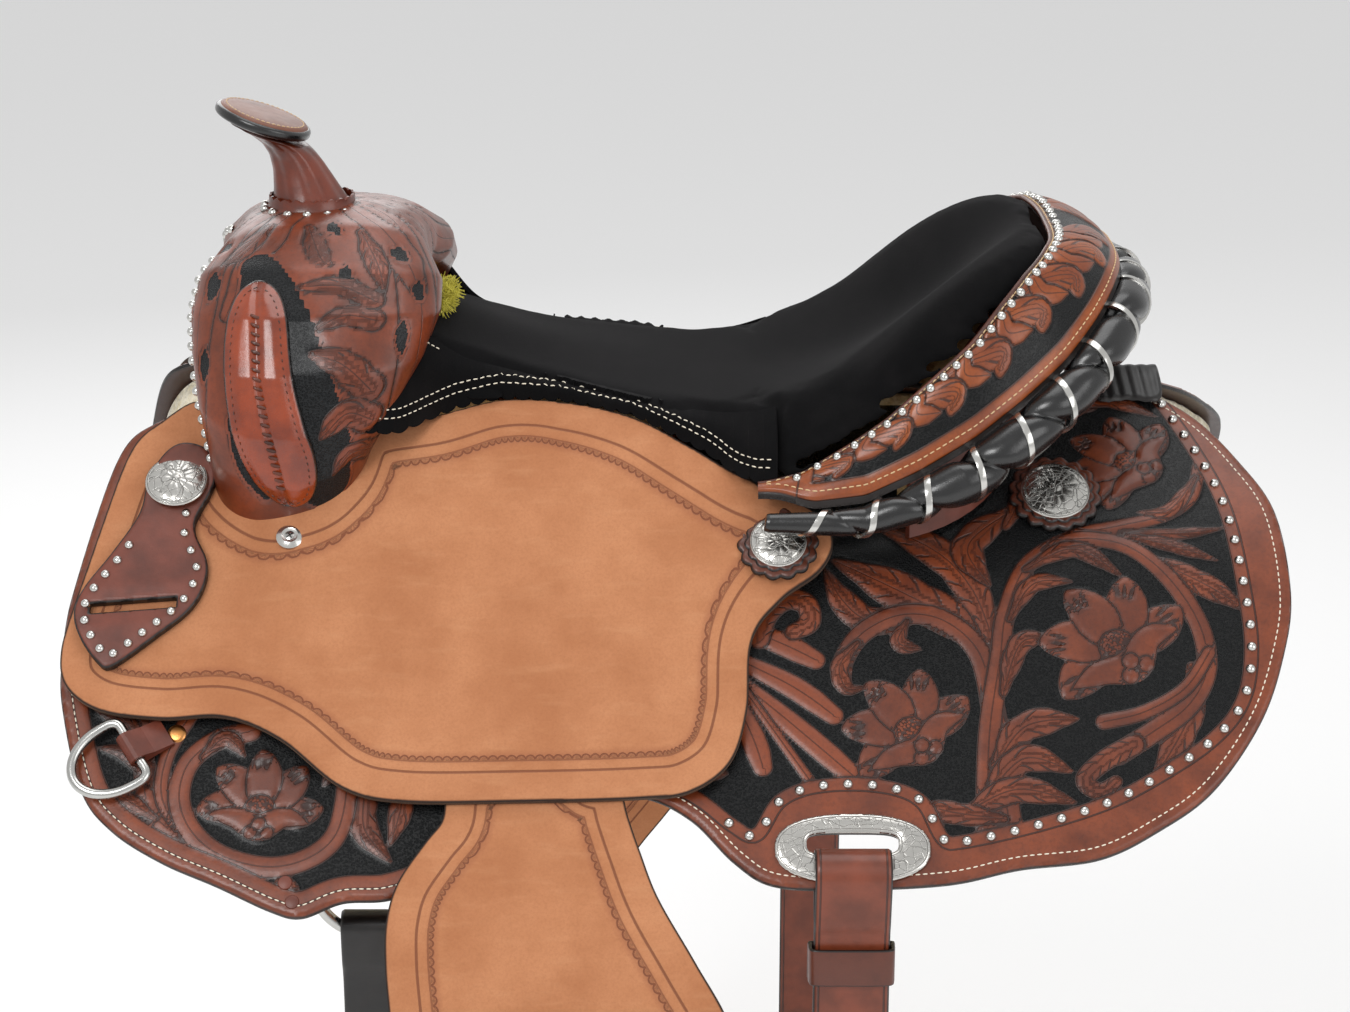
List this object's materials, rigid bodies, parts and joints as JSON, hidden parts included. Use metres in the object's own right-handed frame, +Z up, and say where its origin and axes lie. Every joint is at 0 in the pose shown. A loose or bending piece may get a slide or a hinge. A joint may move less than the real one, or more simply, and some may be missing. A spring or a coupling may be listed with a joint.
{
  "type": "western saddle",
  "caption": "Western barrel saddle: horn and fork, suede seat with raised cantle, tooled skirts over fleece, hung fenders with stirrups, rigging rings, billets and breast dees.",
  "frame": {"origin": "in the middle plane, halfway along the skirts, at the height of the middle of the bars' resting faces", "axes": "+Z up; the horn points to -X and the cantle to +X; the horse's near (left) side is -Y"},
  "size_m": [0.7305, 0.7218, 0.927],
  "materials": {
    "black": "black polished leather",
    "fleece": "woolly fleece",
    "orange": "glossy dyed leather",
    "rawhide": "ground seat leather, raw",
    "rough_out": "rough-out leather, matt",
    "silver": "engraved silver plate",
    "smooth": "smooth oiled leather",
    "steel": "stainless, polished",
    "stirrup": "leather-covered bent wood",
    "suede": "black suede",
    "tooled": "floral tooled, oiled leather",
    "wood": "rawhide-covered wood"
  },
  "bodies": {
    "saddle": {"cantle_back": "tooled", "cantle_binding": "black", "cantle_roll": "orange", "dee_clip_near": "smooth", "dee_clip_off": "smooth", "fleece_near": "fleece", "fleece_off": "fleece", "fork_cover": "tooled", "ground_seat": "rawhide", "horn_cap": "smooth", "horn_cap_binding": "black", "horn_core": "steel", "horn_neck_wrap": "smooth", "jockey_concho_near": "silver", "jockey_concho_off": "silver", "jockey_near": "rough_out", "jockey_off": "rough_out", "jockey_rosette_near": "smooth", "jockey_rosette_off": "smooth", "keeper_concho_near": "silver", "keeper_concho_off": "silver", "latigo_keeper_near": "smooth", "latigo_keeper_off": "smooth", "rear_concho_near": "silver", "rear_concho_off": "silver", "rear_rosette_near": "smooth", "rear_rosette_off": "smooth", "rigging_strap_near": "smooth", "rigging_strap_off": "smooth", "seat_cover": "suede", "skirt_lace": "black", "skirt_near": "tooled", "skirt_off": "tooled", "slot_plate_near": "silver", "slot_plate_off": "silver", "swell_patch_near": "orange", "swell_patch_off": "orange", "tree_bar_near": "wood", "tree_bar_off": "wood", "tree_cantle": "wood", "tree_fork": "wood"},
    "stirrup_leather_near": {"stirrup_leather_near": "rough_out"},
    "fender_near": {"fender_near": "rough_out"},
    "stirrup_near": {"stirrup_near": "stirrup", "stirrup_bolt_near": "steel"},
    "flank_billet_near": {"flank_billet_near": "tooled"},
    "billet_keeper_near": {"billet_keeper_near": "smooth"},
    "breast_dee_near": {"breast_dee_near": "steel"},
    "rigging_ring_near": {"rigging_ring_near": "steel"},
    "latigo": {"latigo": "black"},
    "stirrup_leather_off": {"stirrup_leather_off": "rough_out"},
    "fender_off": {"fender_off": "rough_out"},
    "stirrup_off": {"stirrup_off": "stirrup", "stirrup_bolt_off": "steel"},
    "flank_billet_off": {"flank_billet_off": "tooled"},
    "billet_keeper_off": {"billet_keeper_off": "smooth"},
    "breast_dee_off": {"breast_dee_off": "steel"},
    "rigging_ring_off": {"rigging_ring_off": "steel"},
    "off_billet": {"off_billet": "smooth"}
  },
  "joints": [
    {"name": "leather_swing_near", "type": "hinge", "parent": "saddle", "child": "stirrup_leather_near", "pos_m": [-0.0875, -0.12773, 0.01689], "axis": [0, -0.7314, 0.682], "range_deg": [-6, 6]},
    {"name": "fender_lift_near", "type": "hinge", "parent": "stirrup_leather_near", "child": "fender_near", "pos_m": [-0.0875, -0.2464, -0.11037], "axis": [-1, 0, 0], "range_deg": [0, 60]},
    {"name": "stirrup_turn_near", "type": "hinge", "parent": "fender_near", "child": "stirrup_near", "pos_m": [-0.075, -0.33485, -0.52182], "axis": [-1, 0, 0], "range_deg": [-55, 55]},
    {"name": "flank_billet_swing_near", "type": "hinge", "parent": "saddle", "child": "flank_billet_near", "pos_m": [0.102, -0.26435, -0.13548], "axis": [-1, 0, 0], "range_deg": [-12, 50]},
    {"name": "billet_keeper_slide_near", "type": "slide", "parent": "flank_billet_near", "child": "billet_keeper_near", "axis": [0, 0, -1], "range_m": [-0.003, 0.1]},
    {"name": "breast_dee_lift_near", "type": "hinge", "parent": "saddle", "child": "breast_dee_near", "pos_m": [-0.315, -0.21982, -0.07636], "axis": [-0.5408, 0.5737, 0.6152], "range_deg": [0, 95]},
    {"name": "rigging_ring_swing_near", "type": "hinge", "parent": "saddle", "child": "rigging_ring_near", "pos_m": [-0.178, -0.22899, -0.12182], "axis": [-1, 0, 0], "range_deg": [-10, 20]},
    {"name": "latigo_swing", "type": "hinge", "parent": "rigging_ring_near", "child": "latigo", "pos_m": [-0.178, -0.22899, -0.19082], "axis": [-1, 0, 0], "range_deg": [-18, 6]},
    {"name": "leather_swing_off", "type": "hinge", "parent": "saddle", "child": "stirrup_leather_off", "pos_m": [-0.0875, 0.12773, 0.01689], "axis": [0, 0.7314, 0.682], "range_deg": [-6, 6]},
    {"name": "fender_lift_off", "type": "hinge", "parent": "stirrup_leather_off", "child": "fender_off", "pos_m": [-0.0875, 0.2464, -0.11037], "axis": [1, 0, 0], "range_deg": [0, 60]},
    {"name": "stirrup_turn_off", "type": "hinge", "parent": "fender_off", "child": "stirrup_off", "pos_m": [-0.075, 0.33485, -0.52182], "axis": [1, 0, 0], "range_deg": [-55, 55]},
    {"name": "flank_billet_swing_off", "type": "hinge", "parent": "saddle", "child": "flank_billet_off", "pos_m": [0.102, 0.26435, -0.13548], "axis": [1, 0, 0], "range_deg": [-12, 50]},
    {"name": "billet_keeper_slide_off", "type": "slide", "parent": "flank_billet_off", "child": "billet_keeper_off", "axis": [0, 0, -1], "range_m": [-0.003, 0.1]},
    {"name": "breast_dee_lift_off", "type": "hinge", "parent": "saddle", "child": "breast_dee_off", "pos_m": [-0.315, 0.21982, -0.07636], "axis": [0.5408, 0.5737, -0.6152], "range_deg": [0, 95]},
    {"name": "rigging_ring_swing_off", "type": "hinge", "parent": "saddle", "child": "rigging_ring_off", "pos_m": [-0.178, 0.22899, -0.12182], "axis": [1, 0, 0], "range_deg": [-10, 20]},
    {"name": "off_billet_swing", "type": "hinge", "parent": "rigging_ring_off", "child": "off_billet", "pos_m": [-0.178, 0.22899, -0.19082], "axis": [1, 0, 0], "range_deg": [-18, 6]}
  ]
}
